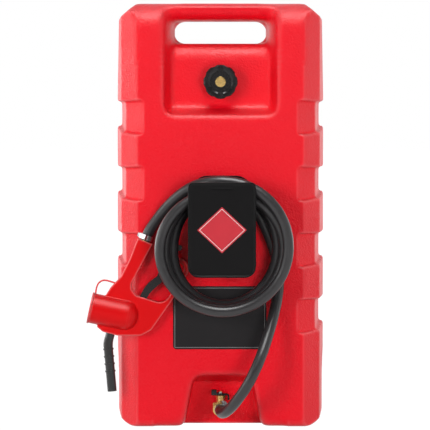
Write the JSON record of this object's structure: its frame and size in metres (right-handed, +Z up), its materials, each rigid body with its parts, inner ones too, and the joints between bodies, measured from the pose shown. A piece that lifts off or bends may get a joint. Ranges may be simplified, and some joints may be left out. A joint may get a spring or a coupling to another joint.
{
  "type": "fuel caddy",
  "caption": "Upright wheeled fuel caddy: moulded red tank with castellated sides, handle slot, vented filler cap, drain valve, hose coiled on a holder and a trigger nozzle.",
  "frame": {"origin": "on the floor under the middle of the tank's base", "axes": "+Z up, the front with hose and filler faces -Y, +X to the right seen from the front"},
  "size_m": [0.4416, 0.351, 0.785],
  "materials": {
    "tank_red": "blow-moulded red plastic with a fine pebbled skin",
    "nozzle_red": "glossy orange-red moulding",
    "black_plastic": "satin black moulding",
    "label_black": "blank black film, slightly glossy",
    "placard_red": "blank red film",
    "hose_rubber": "smooth black rubber hose",
    "seal_rubber": "black sealing rubber",
    "tyre_rubber": "grooved solid tyre",
    "seat_white": "white low-friction plastic",
    "brass": "turned brass",
    "chrome": "plated ball",
    "steel": "zinc-plated steel"
  },
  "bodies": {
    "tank": {"tank_shell": "tank_red", "label_panel": "label_black", "bulkhead_gasket": "seal_rubber", "bulkhead_nut": "brass", "valve_body": "brass", "valve_seats": "seat_white", "stem_packing": "seat_white", "packing_nut": "brass", "valve_tailpiece": "brass", "valve_clamp": "steel", "valve_clamp_screw": "steel", "axle": "steel", "axle_washers": "steel", "axle_caps": "steel", "holder_base": "black_plastic", "holder_plate": "black_plastic", "holder_screws": "steel", "placard": "placard_red", "hose_lead": "hose_rubber", "hose_coil": "hose_rubber", "hose_tail": "hose_rubber", "nozzle_clamp": "steel", "nozzle_clamp_screw": "steel", "nozzle_barb": "brass", "nozzle_back": "nozzle_red", "nozzle_front": "nozzle_red", "nozzle_screws": "steel", "hang_loop": "nozzle_red", "trigger_pin": "steel", "trigger_spring": "steel", "pump_cylinder": "black_plastic", "barrel_cap": "nozzle_red", "spout_collar": "black_plastic", "spout": "black_plastic"},
    "wheel_left": {"wheel_hub_left": "black_plastic", "wheel_tyre_left": "tyre_rubber"},
    "wheel_right": {"wheel_hub_right": "black_plastic", "wheel_tyre_right": "tyre_rubber"},
    "cap_seal": {"cap_seal": "seal_rubber"},
    "cap": {"cap_body": "black_plastic", "vent_body": "brass", "vent_plug": "brass", "vent_spring": "steel"},
    "vent": {"vent_poppet": "brass"},
    "valve_handle": {"valve_ball": "chrome", "valve_stem": "brass", "valve_lever": "black_plastic", "lever_nut": "steel"},
    "trigger": {"trigger": "black_plastic"},
    "pump": {"pump_piston": "steel", "piston_seal": "seal_rubber"}
  },
  "joints": [
    {"name": "wheel_left_spin", "type": "hinge", "parent": "tank", "child": "wheel_left", "pos_m": [-0.139, 0.06, 0.075], "axis": [1, 0, 0], "continuous": true},
    {"name": "wheel_right_spin", "type": "hinge", "parent": "tank", "child": "wheel_right", "pos_m": [0.139, 0.06, 0.075], "axis": [1, 0, 0], "continuous": true},
    {"name": "cap_lift", "type": "slide", "parent": "tank", "child": "cap_seal", "axis": [0, -1, 0], "range_m": [0, 0.06]},
    {"name": "cap_turn", "type": "hinge", "parent": "cap_seal", "child": "cap", "pos_m": [0, -0.085, 0.64], "axis": [0, -1, 0], "range_deg": [0, 540]},
    {"name": "vent_open", "type": "slide", "parent": "cap", "child": "vent", "axis": [0, -1, 0], "range_m": [0, 0.001], "stiffness_N_per_m": 150, "deforming": ["vent_spring"]},
    {"name": "valve_turn", "type": "hinge", "parent": "tank", "child": "valve_handle", "pos_m": [0, -0.077, 0.03], "axis": [0, 0, 1], "range_deg": [0, 90]},
    {"name": "trigger_pull", "type": "hinge", "parent": "tank", "child": "trigger", "pos_m": [-0.149, -0.1316, 0.228], "axis": [0, -1, 0], "range_deg": [0, 13], "stiffness_Nm_per_rad": 1, "deforming": ["trigger_spring"]},
    {"name": "pump_stroke", "type": "slide", "parent": "tank", "child": "pump", "axis": [0.977, 0, -0.213], "range_m": [0, 0.0037]}
  ],
  "couplings": [
    {"joint": "pump_stroke", "follows": "trigger_pull", "m_per_rad": 0.016}
  ]
}
